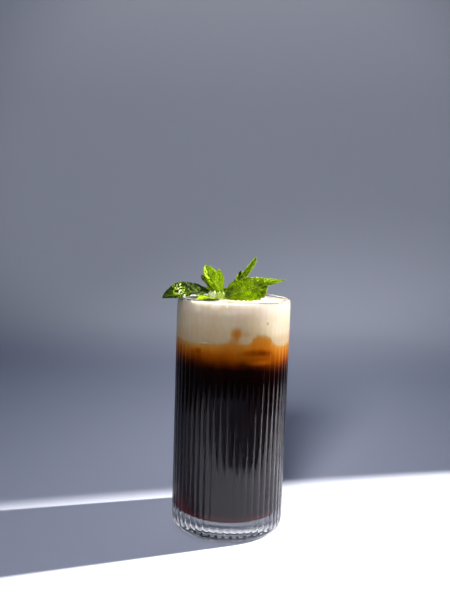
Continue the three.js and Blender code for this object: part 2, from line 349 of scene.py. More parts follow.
def glass_rows():
    """The glass's profile: out along the hollow underside, up the wall, over the lip and down
    the bore."""
    lip_r = WALL_RADIUS - LIP_ROUND
    top = GLASS_HEIGHT - LIP_BAND
    foot = arc(WALL_RADIUS - FOOT_ROUND, FOOT_ROUND, FOOT_ROUND, -90, 0, 8)
    rise = [(WALL_RADIUS, z) for z in np.linspace(RIB_START, RIB_START + RIB_RUN_OUT, 6)]
    wall = [(WALL_RADIUS, z) for z in np.linspace(WALL_START, top - RIB_RUN_OUT, 6)]
    fall = [(WALL_RADIUS, z) for z in np.linspace(top - RIB_RUN_OUT, top, 6)[1:]]
    lip = arc(lip_r, GLASS_HEIGHT - LIP_ROUND, LIP_ROUND, 0, 180, 10)
    bore = [(BORE_RADIUS, GLASS_HEIGHT - 2 * LIP_ROUND), (BORE_RADIUS, BORE_ROW)]
    bottom = arc(BORE_RADIUS - BORE_ROUND, BASE_THICKNESS + BORE_ROUND, BORE_ROUND, 0, -90, 8)
    inner = [(r, BASE_THICKNESS) for r in BASE_ROWS]
    under = [(r, HOLLOW_DEPTH * (1 - (r / HOLLOW_RADIUS) ** HOLLOW_POWER))
             for r in np.linspace(0, HOLLOW_RADIUS, 10)]
    return [*under, *foot, *rise, *wall, *fall, *lip, *bore, *bottom, *inner,
            (0, BASE_THICKNESS)]


class MOJITO_OT_glass(bpy.types.Operator):
    """Makes the ribbed glass"""
    bl_idname = "mojito.glass"
    bl_label = "Ribbed glass"

    facets_per_rib: bpy.props.IntProperty(name="Facets per rib", default=16, min=4)

    def execute(self, context):
        settings = context.scene.mojito_glass
        material = clear_glass(settings)
        sectors = settings.rib_count * self.facets_per_rib
        points, faces = turned(glass_rows(), sectors, settings.first_groove)
        piece = new_object("ribbed_glass", points, faces, material)
        tree = rib_tree(material)
        modifier = piece.modifiers.new("Ribs", "NODES")
        modifier.node_group = tree
        values = {"Count": float(settings.rib_count), "Depth": settings.rib_depth,
                  "Squareness": settings.rib_squareness,
                  "First groove": settings.first_groove, "Foot": RIB_START,
                  "Lip": GLASS_HEIGHT - LIP_BAND, "Run-out": RIB_RUN_OUT, "Wall": WALL_RADIUS}
        for item in tree.interface.items_tree:
            if item.in_out == "INPUT" and item.name in values:
                modifier[item.identifier] = values[item.name]
        made_plain(piece)
        stand_for(piece, "glass")
        return {"FINISHED"}


# Drink

def wave_sum(angle, radius, terms):
    """Waves round the glass, flat on the axis and full at the wall."""
    reach = radius / DRINK_RADIUS
    waves = [size * math.cos(n * (angle - math.radians(peak))) for size, n, peak in terms]
    return sum(waves) * reach * MM


def cream_edge(angle, radius):
    """Height of the edge between the amber band and the cream."""
    return CREAM_EDGE + wave_sum(angle, radius, [(2.2, 2, 20), (1.2, 3, 5), (1.6, 5, 28)])


def coffee_edge(angle, radius):
    """Height of the edge between the coffee and the amber band."""
    return COFFEE_EDGE + wave_sum(angle, radius, [(-2.2, 1, 70), (0.9, 4, 10)])


# How the drink's tone climbs at the wall: angle in degrees from the front, then the heights in
# millimetres where it stops being black and turns brown, amber, tan and creamy
TONES = (0.08, 0.24, 0.44, 0.60, 0.76)
CLIMB = [
    (-165, 96, 100, 105.5, 110.0, 112.8),
    (-135, 97, 101.5, 106, 112.5, 115.5),
    (-105, 97, 101, 105, 109.5, 112.0),
    (-78, 96.5, 100.4, 105.3, 110.2, 113.0),
    (-60, 97.4, 101.8, 106.2, 110.6, 113.2),
    (-44, 98.8, 102.5, 107.2, 109.9, 112.6),
    (-30, 98.2, 102.1, 106.5, 110.3, 114.6),
    (-15, 98.4, 101.6, 106.5, 111.4, 114.2),
    (0, 98, 101.2, 105.7, 112.6, 114.4),
    (16, 98.5, 101.8, 106, 112.2, 114.4),
    (24, 98, 101.2, 106.5, 116.0, 118.4),
    (38, 96.5, 100.4, 106, 116.2, 118.6),
    (46, 95, 99.6, 104.5, 111.0, 113.6),
    (57, 94.5, 98.8, 103, 109.2, 111.4),
    (85, 95, 99.5, 104, 110.5, 113.2),
    (120, 97, 101, 106, 114.2, 117.0),
    (150, 97, 101.5, 105, 110.0, 112.5),
]
# Runs of one into the other, and a few places of painted light marked below: angle, height, half
# widths round and up in millimetres, and how much whiter (+) or darker (-)
RUNS = [
    (3.8, 118.8, 2.3, 2.6, -0.23),
    (2.0, 114.6, 3.0, 1.6, -0.10),
    (13.0, 119.0, 1.8, 1.5, -0.06),
    (24, 108.4, 5.6, 1.5, -0.13),
    (36, 107.6, 3.6, 1.4, -0.10),
    (30, 102.6, 6.0, 1.3, 0.14),
    (12, 104.6, 4.0, 1.6, 0.04),
    (37, 124.4, 0.6, 0.7, -0.22),
    (-29, 112.9, 2.6, 0.5, 0.13),
    (-36, 108.2, 1.8, 1.6, -0.08),
    # Painted light: paler cream just under the rim at the front, where light comes in through its
    # top
    (-39, 131.4, 1.7, 1.5, 0.17),
    (-18, 133.2, 2.0, 1.6, 0.17),
    (-5, 130.5, 4.5, 1.5, 0.08),
    (10, 131.5, 4.0, 1.6, 0.08),
    (120, 120.5, 2.6, 3.0, -0.16),
    (-128, 119.0, 3.0, 2.2, -0.14),
    (175, 128.0, 4.0, 2.0, 0.10),
    # Painted light: a maroon glow at the bottom, where light would come through thin coffee
    (-60, 14.0, 10.0, 10.0, -0.022),
    (-52, 13.0, 7.0, 4.0, -0.018),
    (-10, 11.8, 20.0, 2.6, -0.03),
    (40, 11.8, 11.0, 2.6, -0.015),
    (170, 12.0, 20.0, 4.0, -0.03),
]
PLAIN_COFFEE = 0.05

# The tone fades out this many millimetres below the first height of CLIMB, and is CREAMY_TONE at
# CREAMY_HEIGHT. The edges waver with wisps of three sizes.
FADE_OUT = 8
CREAMY_HEIGHT, CREAMY_TONE = 125, 0.82
WISPS = (6 * MM, 2.6 * MM, 1.3 * MM)
CLOUD_SIZE = 9 * MM
RUN_LIMIT = 5


def climb_heights():
    """The heights of CLIMB for every half degree, eased between its rows."""
    rows = np.array(CLIMB)
    turns = np.concatenate([rows[:, 0] - 360, rows[:, 0], rows[:, 0] + 360])
    fine = np.arange(-180, 180, 0.5)
    reach = 9
    blur = np.hanning(2 * reach + 1)
    blur /= blur.sum()
    eased = []
    for column in range(1, rows.shape[1]):
        heights = np.interp(fine, turns, np.tile(rows[:, column], 3))
        padded = np.concatenate([heights[-reach:], heights, heights[:reach]])
        eased.append(np.convolve(padded, blur, "valid"))
    return np.array(eased)


HEIGHTS = climb_heights()


def milk_and_painted_light(x, y, z):
    """How much cream there is at a point, with painted light in it: about 0.45 amber and 1 pure
    cream. Black coffee has the value PLAIN_COFFEE, and less than that is a painted maroon glow
    where light would come through thin coffee."""
    angle = math.atan2(x, -y)
    place = Vector((x, y, z * 0.6))
    wisp = noise.noise(place / WISPS[0]) + 0.5 * noise.noise(place / WISPS[1])
    fine = noise.noise(Vector((x, y, z * 0.5)) / WISPS[2])
    levels = HEIGHTS[:, int(math.degrees(angle) * 2 + 360) % 720]
    height = z / MM + 1.0 * wisp + 0.35 * fine
    value = float(np.interp(height, (levels[0] - FADE_OUT, *levels, CREAMY_HEIGHT),
                            (PLAIN_COFFEE, *TONES, CREAMY_TONE)))
    cloud = noise.noise(place / CLOUD_SIZE + Vector((5, 1, 3))) + 0.5 * fine
    creamy = float(smooth(114, 120, z / MM))
    # Random clouds in the cream, and a painted glow towards its top, where light comes in through it
    value += creamy * (0.035 * cloud + 0.10 * float(smooth(126, 133, z / MM)))
    # Painted light: whiter on the right, where the key light falls
    value += creamy * 0.10 * float(smooth(0.25, 0.8, math.sin(angle)))
    for turn, up, wide, high, change in RUNS:
        round_about = (angle - math.radians(turn) + math.pi) % (2 * math.pi) - math.pi
        dx = round_about * DRINK_RADIUS / (wide * MM) + 0.2 * fine
        dz = (z / MM - up) / high + 0.25 * wisp
        away = dx * dx + dz * dz
        if away < RUN_LIMIT:
            value += change * math.exp(-away ** 1.5 * 0.7)
    return min(max(value, 0.0), 1.0)


def keep_milk_and_painted_light(piece):
    """Writes the cream share, with its painted light, to the piece's points, for its material to
    read.
    """
    mesh = piece.data
    layer = mesh.attributes.new("milk", "FLOAT", "POINT")
    layer.data.foreach_set("value", [milk_and_painted_light(*v.co) for v in mesh.vertices])


def drink_colour(tree, settings):
    """Base colour from the milk and light attribute: a painted maroon glow, black coffee, browns,
    amber, tans and cream.
    """
    milk = add_node(tree, "ShaderNodeAttribute", {"attribute_name": "milk"})
    ramp = add_node(tree, "ShaderNodeValToRGB", {"Fac": milk.outputs["Fac"]})
    # The first stop is a painted maroon glow of light through thin coffee
    stops = ((0.0, "#701c20"), (PLAIN_COFFEE, settings.coffee), (0.12, "#32110a"),
             (0.22, "#562704"), (0.34, "#8a4706"), (0.45, settings.amber), (0.56, "#c8852e"),
             (0.66, "#ca9e5c"), (0.76, "#d3c1a0"), (0.88, "#e6dcc8"), (1.0, settings.cream))
    elements = ramp.color_ramp.elements
    for position, _ in stops[1:-1]:
        elements.new(position)
    for element, (_, colour) in zip(elements, stops):
        element.color = linear(colour)
    return ramp.outputs["Color"]


def coffee_material(settings):
    """Black coffee against glass: almost no light comes back out of it, and the reflection at the
    boundary is faint, since the two have nearly the same refractive index."""
    material, tree = new_material("black coffee")
    shader = add_node(tree, "ShaderNodeBsdfPrincipled", {
        "Roughness": 0.08, "IOR": 1.13, "Base Color": drink_colour(tree, settings)})
    add_node(tree, "ShaderNodeOutputMaterial", {"Surface": shader})
    return material


def coffee_on_base_material(settings):
    """The coffee's underside. Light that comes along through the thick base of the glass meets it
    at a low angle and is thrown back whole, because coffee bends light less than glass does."""
    material, tree = new_material("black coffee on the glass base")
    coffee = add_node(tree, "ShaderNodeBsdfPrincipled", {
        "Base Color": linear(settings.coffee), "Roughness": 0.08, "IOR": 1.13})
    mirror = add_node(tree, "ShaderNodeBsdfGlossy", {"Roughness": 0.04})
    thrown_back = add_node(tree, "ShaderNodeFresnel", {"IOR": COFFEE_IOR / GLASS_IOR})
    both = add_node(tree, "ShaderNodeMixShader", {0: thrown_back, 1: coffee, 2: mirror})
    add_node(tree, "ShaderNodeOutputMaterial", {"Surface": both})
    return material


def blend_material(settings):
    """Coffee clouded with cream: light goes in a few millimetres and comes out amber."""
    material, tree = new_material("coffee clouded with cream")
    shader = add_node(tree, "ShaderNodeBsdfPrincipled", {
        "Roughness": 0.12, "IOR": 1.13, "Subsurface Weight": 0.2,
        "Subsurface Radius": (2.0, 1.2, 0.4), "Subsurface Scale": MM,
        "Base Color": drink_colour(tree, settings)})
    add_node(tree, "ShaderNodeOutputMaterial", {"Surface": shader})
    return material


def cream_material(settings):
    """Lightly whipped cream: soft, bright and full of fine bubbles, which show on its top."""
    material, tree = new_material("lightly whipped cream")
    place = add_node(tree, "ShaderNodeTexCoord").outputs["Object"]
    bubbles = add_node(tree, "ShaderNodeTexVoronoi", {"Scale": 1 / (0.9 * MM), "Vector": place})
    bump = add_node(tree, "ShaderNodeBump", {
        "Strength": 0.35, "Distance": 0.12 * MM, "Height": bubbles})
    shader = add_node(tree, "ShaderNodeBsdfPrincipled", {
        "Roughness": 0.42, "IOR": 1.35, "Subsurface Weight": 0.7,
        "Subsurface Radius": (6.0, 4.6, 3.2), "Subsurface Scale": MM,
        "Base Color": drink_colour(tree, settings), "Normal": bump})
    add_node(tree, "ShaderNodeOutputMaterial", {"Surface": shader})
    return material


WALL_COLUMNS = 420
LAYER_RINGS = 6


def layer_rows(under, over, wall_rows, top_radii=None):
    """A layer between two surfaces: out along the lower one, up the wall, in along the upper."""
    radii = np.linspace(0, DRINK_RADIUS, LAYER_RINGS + 1)
    rows = [(0, under(0, 0))]
    rows += [(r, under) for r in radii[1:]]
    for k in range(1, wall_rows):
        share = k / wall_rows
        rows.append((DRINK_RADIUS, lambda a, r, s=share: under(a, r) * (1 - s) + over(a, r) * s))
    rows += [(r, over) for r in (radii[:0:-1] if top_radii is None else top_radii)]
    rows.append((0, over(0, 0)))
    return rows


# The coffee's rows up the wall in millimetres, close together where its tone changes, and the
# height from which they bend towards its wavy top, in so many steps
COFFEE_ROWS = (14.5, 16, 18, 20, 23, 27, 34, 50, 68, 84)
COFFEE_BEND = 84 * MM
BEND_STEPS = 16


class MOJITO_OT_coffee(bpy.types.Operator):
    """Makes the black coffee in the lower part of the glass"""
    bl_idname = "mojito.coffee"
    bl_label = "Black coffee"

    def execute(self, context):
        flat = BORE_RADIUS - BORE_ROUND
        rounding = BORE_ROUND + INTO_WALL
        floor = BASE_THICKNESS - INTO_WALL
        rows = [(0, floor), (flat / 2, floor)]
        rows += arc(flat, floor + rounding, rounding, -90, 0, 8)
        rows += [(DRINK_RADIUS, z * MM) for z in COFFEE_ROWS]
        for k in range(1, BEND_STEPS):
            share = k / BEND_STEPS
            rows.append((DRINK_RADIUS, lambda a, r, s=share:
                         COFFEE_BEND * (1 - s) + coffee_edge(a, r) * s))
        rows += [(r, coffee_edge) for r in np.linspace(DRINK_RADIUS, 0, LAYER_RINGS + 1)[:-1]]
        rows.append((0, coffee_edge(0, 0)))
        points, faces = turned(rows, WALL_COLUMNS)
        settings = context.scene.mojito_drink
        piece = new_object("black_coffee", points, faces, coffee_material(settings))
        piece.data.materials.append(coffee_on_base_material(settings))
        for face in piece.data.polygons:
            face.material_index = int(face.normal.z < -0.5)
        keep_milk_and_painted_light(piece)
        stand_for(piece, "coffee")
        return {"FINISHED"}


class MOJITO_OT_blend(bpy.types.Operator):
    """Makes the amber band where the coffee meets the cream"""
    bl_idname = "mojito.blend"
    bl_label = "Amber band"

    def execute(self, context):
        points, faces = turned(layer_rows(coffee_edge, cream_edge, 34), WALL_COLUMNS)
        material = blend_material(context.scene.mojito_drink)
        piece = new_object("amber_band", points, faces, material)
        keep_milk_and_painted_light(piece)
        stand_for(piece, "amber_blend")
        return {"FINISHED"}


def cream_top(angle, radius):
    """The cream's top: nearly flat, softly uneven, and drawn up a little against the glass."""
    x, y = radius * math.sin(angle), -radius * math.cos(angle)
    swell = noise.noise(Vector((x, y, 0)) / (11 * MM)) * 0.35 * MM
    swell += noise.noise(Vector((x, y, 40)) / (4 * MM)) * 0.12 * MM
    swell *= smooth(DRINK_RADIUS, DRINK_RADIUS - 5 * MM, radius)
    climb = 0.45 * MM * math.exp((radius - DRINK_RADIUS) / (0.8 * MM))
    return CREAM_TOP + swell + climb - 0.15 * MM


class MOJITO_OT_cream(bpy.types.Operator):
    """Makes the cream that fills the glass to just under the rim"""
    bl_idname = "mojito.cream"
    bl_label = "Cream"

    def execute(self, context):
        radii = [DRINK_RADIUS - inwards * MM for inwards in (0, 0.3, 0.7, 1.2, 2.0, 3.0)]
        radii += list(np.linspace(DRINK_RADIUS - 4 * MM, 0, 28)[:-1])
        points, faces = turned(layer_rows(cream_edge, cream_top, 48, radii), WALL_COLUMNS)
        material = cream_material(context.scene.mojito_drink)
        piece = new_object("whipped_cream", points, faces, material)
        keep_milk_and_painted_light(piece)
        stand_for(piece, "cream")
        return {"FINISHED"}


# Mint

# Each leaf runs from its stalk end to its tip, in millimetres. face is the way its upper side
# looks, bow is how far the midrib arches towards it, fold lifts the two halves, lobe and taper
# set the outline near the stalk and the tip, and wave ripples the edges. skew makes the right
# half, looking from the stalk, wider than the left one, and tail draws it in: where that starts
# and ends along the leaf, and by how much. young is 0 for a grown leaf and 1 for a pale one, and
# patches are painted light and shade, paler (+) for light through the blade or, speckled, for
# glints, and darker (-) for shade: where along the leaf, where across it from -1 at the right
# edge to 1, their half length and half width, the change, and 1 for a speckled one.
LEAVES = [
    # The speckled patch on this leaf is a painted glint
    dict(base=(-13.1, -3.5, 138.2), tip=(-40.5, -17, 135.5), face=(-0.15, -0.62, 0.8), width=15,
         bow=2.2, fold=20, wave=0.5, lobe=0.95, taper=0.8, veins=7, young=-0.38,
         painted_patches=[(0.66, 0.0, 0.09, 2.0, 3.4, 1)]),
    dict(base=(-11.6, -8, 135.6), tip=(-21.6, -20.2, 135.4), face=(0, -0.3, 1), width=8,
         bow=0.7, fold=8, wave=0.15, lobe=0.75, taper=1.2, veins=5, young=0.7),
    dict(base=(-10.9, -1, 138), tip=(-20.3, 5, 147.9), face=(0.5, -0.8, 0.4), width=6,
         bow=0.5, fold=20, wave=0.2, lobe=1, taper=0.8, veins=5, young=0.17),
    dict(base=(-9.4, -1, 138.2), tip=(-17.8, 4, 154), face=(0.45, -1, 0.2), width=9.5,
         bow=-0.8, fold=24, wave=0.4, lobe=0.9, taper=0.65, veins=5, young=0.75),
    dict(base=(-7.8, -2, 138.6), tip=(-9.8, 1, 152.2), face=(-0.3, -1, 0.1), width=7,
         bow=-0.8, fold=24, wave=0.3, lobe=0.9, taper=0.8, veins=5, young=1.02),
    # Patches here: painted light through the blade, two of painted shade and a painted glint
    dict(base=(-5.4, -9, 135.8), tip=(29.9, -1, 146.9), face=(-0.1, -0.68, 0.80), width=23,
         bow=0.9, fold=18, wave=0.5, lobe=0.8, taper=1.2, skew=0.36, tail=(0.52, 0.73, 0.85),
         veins=8, young=0.52, painted_patches=[(0.30, -0.4, 0.22, 0.5, 0.32, 0),
                                       (0.62, -0.6, 0.14, 0.6, -0.45, 0),
                                       (0.08, 0.4, 0.14, 0.8, -0.4, 0),
                                       (0.85, 0.2, 0.14, 0.8, 0.5, 1)]),
    dict(base=(-5.6, -1, 136), tip=(3.9, 5, 151.2), face=(0.82, -0.6, 0.1), width=17,
         bow=0.8, fold=26, wave=0.4, lobe=1, taper=0.75, skew=0.45, veins=6, young=0.27),
    dict(base=(-5.2, 1.5, 137.2), tip=(12.2, 7, 159.8), face=(0.93, -0.5, 0.3), width=6,
         bow=0.3, fold=35, wave=0.2, lobe=1.5, taper=0.6, veins=5, young=0.4),
    dict(base=(-10.2, -1, 137.2), tip=(-13.5, 21, 136.6), face=(0, 0.1, 1), width=12,
         bow=1.6, fold=12, wave=0.4, lobe=0.9, taper=0.9, veins=6, young=0.36),
    dict(base=(-6.8, -1, 137), tip=(5, 19, 137.4), face=(0, 0.1, 1), width=11,
         bow=1.4, fold=12, wave=0.4, lobe=0.9, taper=0.9, veins=6, young=0.36),
]
LEAF_CELL = 0.36 * MM
LEAF_THICKNESS = 0.4 * MM
EDGE_THINNING = 0.6
END_WIDTH = 0.16 * MM
SKEW_FULL = 0.6

# The teeth: how deep they cut, as a share of the half width, from which share of it outwards, how
# far apart they are, and how far those of one edge are shifted against the other's
TOOTH = 0.1
TOOTH_BAND = 0.72
TOOTH_SPACING = 2.4 * MM
TOOTH_SHIFT = 0.37
RIPPLE_SHIFT = 1.3

# The relief between the veins, in shares of the pucker: bulges between the side veins, small cells
# between the net's veins, and a slow crinkle. A half leaf of the full width has all of it.
VEIN_SLANT = 0.2
BULGE, BULGE_SHAPE = 1.0, 0.7
CELL_SIZE = 1.5 * MM
CELL_RISE, CELL_STEEPNESS = 0.8, 2.2
CRINKLE = 0.9
FULL_RELIEF = 5 * MM

# Leaves rest on the cream
LEAF_REST = CREAM_TOP + 0.5 * MM
REST_SOFTNESS = 0.3 * MM

# The grains of a speckled patch, which paint glints
GLINT_GRAIN_SIZE = 0.9 * MM


def resting(z):
    """A height on a leaf, kept from sinking into the cream that it lies on."""
    return LEAF_REST + REST_SOFTNESS * math.log1p(math.exp((z - LEAF_REST) / REST_SOFTNESS))


def leaf_mesh(leaf, pucker):
    """Points, faces, and per point the place along and across the leaf, each from 0 to 1."""
    start, end = (Vector(leaf[k]) * MM for k in ("base", "tip"))
    run = end - start
    along = run.normalized()
    up = Vector(leaf["face"])
    up = (up - along * up.dot(along)).normalized()
    across = up.cross(along)
    steps = max(14, math.ceil(run.length / LEAF_CELL))
    half_cells = max(5, math.ceil(0.5 * leaf["width"] * MM / LEAF_CELL))
    widest = leaf["lobe"] / (leaf["lobe"] + leaf["taper"])
    lift, spread = math.sin(math.radians(leaf["fold"])), math.cos(math.radians(leaf["fold"]))
    teeth = max(4, round(run.length / TOOTH_SPACING))
    seed = Vector((start.x, end.y, end.z)) / (3 * MM)
    columns = 2 * half_cells + 1
    middle_sheet, normals, places = [], [], []
    for i in range(steps + 1):
        u = i / steps
        bow = leaf["bow"] * MM
        mid = start + run * u + up * bow * 4 * u * (1 - u)
        tangent = (run + up * bow * 4 * (1 - 2 * u)).normalized()
        normal = tangent.cross(across)
        outline = (u / widest) ** leaf["lobe"] * ((1 - u) / (1 - widest)) ** leaf["taper"]
        full = 0.5 * leaf["width"] * MM * outline
        tail_start, tail_end, tail = leaf.get("tail", (0, 1, 0))
        drawn_in = 1 - tail * smooth(tail_start, tail_end, u)
        lean = leaf.get("skew", 0) * smooth(0, SKEW_FULL, u)
        halves = {1: max(END_WIDTH, full * (1 - lean)),
                  -1: max(END_WIDTH, full * (1 + lean) * drawn_in)}
        for j in range(-half_cells, half_cells + 1):
            v = j / half_cells
            away = abs(v)
            side = 1 if v > 0 else -1
            half = halves[side]
            saw = 1 - (teeth * u + TOOTH_SHIFT * side) % 1.0
            reach = away - TOOTH * saw * smooth(TOOTH_BAND, 1.0, away) * (half > END_WIDTH)
            ripple = math.sin(4 * math.pi * u + (RIPPLE_SHIFT if v > 0 else 0)) * v * v
            ripple *= math.sin(math.pi * u) * leaf["wave"] * MM
            place = (u - VEIN_SLANT * away) * leaf["veins"]
            bulge = BULGE * abs(math.sin(math.pi * place)) ** BULGE_SHAPE
            bulge *= smooth(0.02, 0.3, away) * smooth(1.02, 0.75, away)
            spot = Vector((u * run.length, v * half, 0)) / CELL_SIZE + seed
            near, far = noise.voronoi(spot)[0][:2]
            cell = CELL_RISE * min(1.0, CELL_STEEPNESS * (far - near)) * smooth(0.0, 0.15, away)
            crinkle = CRINKLE * noise.noise(spot * 0.5)
            relief = pucker * min(1.0, half / FULL_RELIEF) * (bulge + cell + crinkle)
            rise = half * away * lift + ripple + relief * (u * (1 - u) * 4)
            point = mid + across * half * reach * side * spread + normal * rise
            point.z = resting(point.z)
            middle_sheet.append(point)
            normals.append(normal)
            places.append((u, 0.5 + 0.5 * v))
    points, kept = [], []
    for side in (1, -1):
        for point, normal, (u, v) in zip(middle_sheet, normals, places):
            edge = 1 - EDGE_THINNING * abs(2 * v - 1) ** 4
            points.append(point + normal * side * edge * LEAF_THICKNESS / 2)
            kept.append((u, v))
    count = (steps + 1) * columns
    faces = []
    for i in range(steps):
        for j in range(columns - 1):
            a = i * columns + j
            faces.append((a, a + columns, a + columns + 1, a + 1))
            b = a + count
            faces.append((b, b + 1, b + columns + 1, b + columns))
        left, right = i * columns, (i + 1) * columns - 1
        faces.append((left, left + count, left + columns + count, left + columns))
        faces.append((right, right + columns, right + columns + count, right + count))
    for j in range(columns - 1):
        a, b = j, steps * columns + j
        faces.append((a, a + 1, a + 1 + count, a + count))
        faces.append((b, b + count, b + 1 + count, b + 1))
    return points, faces, kept


def leaf_material(settings):
    """Fresh mint: a soft satin blade with pale sunken veins and painted shade along its sunken net,
    that glows when lit from behind. The net of small veins is too fine for the render, so it is
    drawn at 1.3 mm."""
    material, tree = new_material("fresh mint leaf")
    place = add_node(tree, "ShaderNodeTexCoord").outputs["Object"]
    drawn = add_node(tree, "ShaderNodeAttribute", {"attribute_name": "leaf_place"})
    # The young attribute holds the leaf's age and its painted light and shade
    young = add_node(tree, "ShaderNodeAttribute", {"attribute_name": "young"})
    along, away, _ = add_node(tree, "ShaderNodeSeparateXYZ", {
        "Vector": drawn.outputs["Vector"]}).outputs
    net = add_node(tree, "ShaderNodeTexVoronoi", {
        "feature": "DISTANCE_TO_EDGE", "Scale": 1 / (1.3 * MM), "Vector": place})
    clouds = add_node(tree, "ShaderNodeTexNoise", {
        "Scale": 1 / (4.2 * MM), "Detail": 1.0, "Vector": place})
    known = {"along": along, "away": away, "net": net, "clouds": clouds,
             "young": young.outputs["Fac"]}
    # Steps: a name, a sum, whether it is kept from 0 to 1, and the numbers or the known things that
    # go in. The side veins fade towards the leaf's edge, and the net shows less on pale leaves.
    for name, operation, clamp, *sources in (
        ("from vein", "PINGPONG", False, "along", 0.5),
        ("side vein", "MULTIPLY_ADD", True, "from vein", -10.0, 1.0),
        ("fading", "SUBTRACT", True, 1.05, "away"),
        ("faded vein", "MULTIPLY", False, "side vein", "fading"),
        ("midrib", "MULTIPLY_ADD", True, "away", -14.0, 1.0),
        ("vein", "MAXIMUM", False, "faded vein", "midrib"),
        ("vein share", "MULTIPLY", False, "vein", 0.45),
        ("net vein", "MULTIPLY_ADD", True, "net", -4.5, 1.0),
        ("sunken", "MULTIPLY_ADD", False, "net vein", 0.6, "vein"),
        ("swing", "SUBTRACT", False, "clouds", 0.5),
        ("age mottling and painted light", "ADD", True, "young", "swing"),
        ("pale hairs and painted glints", "SUBTRACT", True, "young", 1.0),
        ("net strength", "MULTIPLY_ADD", False, "pale hairs and painted glints", -0.6, 0.85),
        ("net painted shade", "MULTIPLY", False, "net vein", "net strength"),
    ):
        inputs = {k: known.get(source, source) for k, source in enumerate(sources)}
        known[name] = add_node(tree, "ShaderNodeMath", {
            "operation": operation, "use_clamp": clamp, **inputs})
    # Mottled from grown to young with the painted patches, then paler for pale hairs and painted
    # glints, darker along the net as painted shade, and paler along the veins
    colour = add_node(tree, "ShaderNodeMix", {
        "data_type": "RGBA", "A": linear("#1c2c03"), "B": linear(settings.leaf),
        "Factor": clouds})
    for share, blend, shade in (
        ("age mottling and painted light", "MIX", settings.young),
        ("pale hairs and painted glints", "MIX", "#e2ecc4"),
        ("net painted shade", "MULTIPLY", "#8ea35a"),
        ("vein share", "MIX", "#a3b83e"),
    ):
        colour = add_node(tree, "ShaderNodeMix", {
            "data_type": "RGBA", "blend_type": blend, "Factor": known[share],
            "A": colour.outputs[2], "B": linear(shade)})
    bump = add_node(tree, "ShaderNodeBump", {
        "invert": True, "Strength": 0.6, "Distance": 0.15 * MM, "Height": known["sunken"]})
    shader = add_node(tree, "ShaderNodeBsdfPrincipled", {
        "Roughness": 0.55, "IOR": 1.42, "Specular IOR Level": 0.3,
        "Specular Tint": linear("#f4f8c8"), "Subsurface Weight": 0.5,
        "Subsurface Radius": (0.8, 1.0, 0.15), "Subsurface Scale": 0.8 * MM,
        "Base Color": colour.outputs[2], "Normal": bump})
    add_node(tree, "ShaderNodeOutputMaterial", {"Surface": shader})
    return material


def leaves_piece(name, leaves, settings):
    """One piece of many leaves, with what its material reads written to its points."""
    points, faces, places, young = [], [], [], []
    for leaf in leaves:
        some, sheets, kept = leaf_mesh(leaf, settings.pucker)
        offset = len(points)
        points += some
        faces += [tuple(offset + k for k in face) for face in sheets]
        for point, (u, v) in zip(some, kept):
            across = 2 * v - 1
            away = abs(across)
            places.append(((u - VEIN_SLANT * away) * leaf["veins"], away, 0))
            glint_grain = smooth(0.0, 0.2, noise.noise(point / GLINT_GRAIN_SIZE))
            tone = leaf["young"]
            # Painted patches: paler for light through the blade, grained for glints, darker for
            # shade
            for along, aside, length, width, change, grained_glint in leaf.get("painted_patches", ()):
                near = math.exp(-((u - along) / length) ** 2 - ((across - aside) / width) ** 2)
                tone += change * near * (glint_grain if grained_glint else 1)
            young.append(tone)
    piece = new_object(name, points, faces, leaf_material(settings))
    mesh = piece.data
    layer = mesh.attributes.new("leaf_place", "FLOAT_VECTOR", "POINT")
    layer.data.foreach_set("vector", np.array(places, np.float32).ravel())
    # young holds each leaf's age with its painted light and shade
    layer = mesh.attributes.new("young", "FLOAT", "POINT")
    layer.data.foreach_set("value", young)
    stand_for(piece, "mint_sprig")
    return piece


class MOJITO_OT_mint_leaves(bpy.types.Operator):
    """Makes the leaves of the mint sprig"""
    bl_idname = "mojito.mint_leaves"
    bl_label = "Mint leaves"

    def execute(self, context):
        leaves_piece("mint_leaves", LEAVES, context.scene.mojito_mint)
        return {"FINISHED"}


# The two tufts of unopened leaves where the sprig branches: centre and size in millimetres
CROWNS = [
    dict(centre=(-12.4, -7, 137.5), radius=(3.0, 2.8, 2.7), young=2.05),
    dict(centre=(-7.6, -7.2, 137.4), radius=(2.8, 2.6, 2.5), young=1.4),
]
CROWN_LEAVES = 15
GOLDEN_ANGLE = math.radians(137.5)


def crown_leaves(crown, seed):
    """Small leaves curled over each other round a tuft's middle, the inner ones steeper."""
    pick = np.random.default_rng(seed)
    centre, radius = Vector(crown["centre"]), Vector(crown["radius"])
    steepest, flattest = 0.95, -0.2
    leaves = []
    for k in range(CROWN_LEAVES):
        share = k / (CROWN_LEAVES - 1)
        turn = k * GOLDEN_ANGLE + pick.uniform(-0.2, 0.2)
        rise = steepest + (flattest - steepest) * share
        flat = math.sqrt(max(0.05, 1 - rise * rise))
        out = Vector((math.cos(turn) * flat, math.sin(turn) * flat, rise))
        tip = centre + Vector(a * b for a, b in zip(out, radius)) * pick.uniform(0.92, 1.02)
        base = centre + Vector((out.x * 0.3 * radius.x, out.y * 0.3 * radius.y, -0.75 * radius.z))
        face = Vector((-out.x, -out.y, 1.2))
        leaves.append(dict(
            base=tuple(base), tip=tuple(tip), face=tuple(face), width=pick.uniform(2.3, 3.1),
            bow=-0.9, fold=24, wave=0.15, lobe=0.9, taper=0.7, veins=3,
            young=crown["young"] + pick.uniform(-0.25, 0.1)))
    return leaves


class MOJITO_OT_mint_crown(bpy.types.Operator):
    """Makes the tufts of unopened leaves at the top of the sprig"""
    bl_idname = "mojito.mint_crown"
    bl_label = "Mint crown"

    def execute(self, context):
        leaves = [leaf for seed, crown in enumerate(CROWNS) for leaf in crown_leaves(crown, seed)]
        leaves_piece("mint_crown", leaves, context.scene.mojito_mint)
        return {"FINISHED"}


TUBE_SECTORS = 16


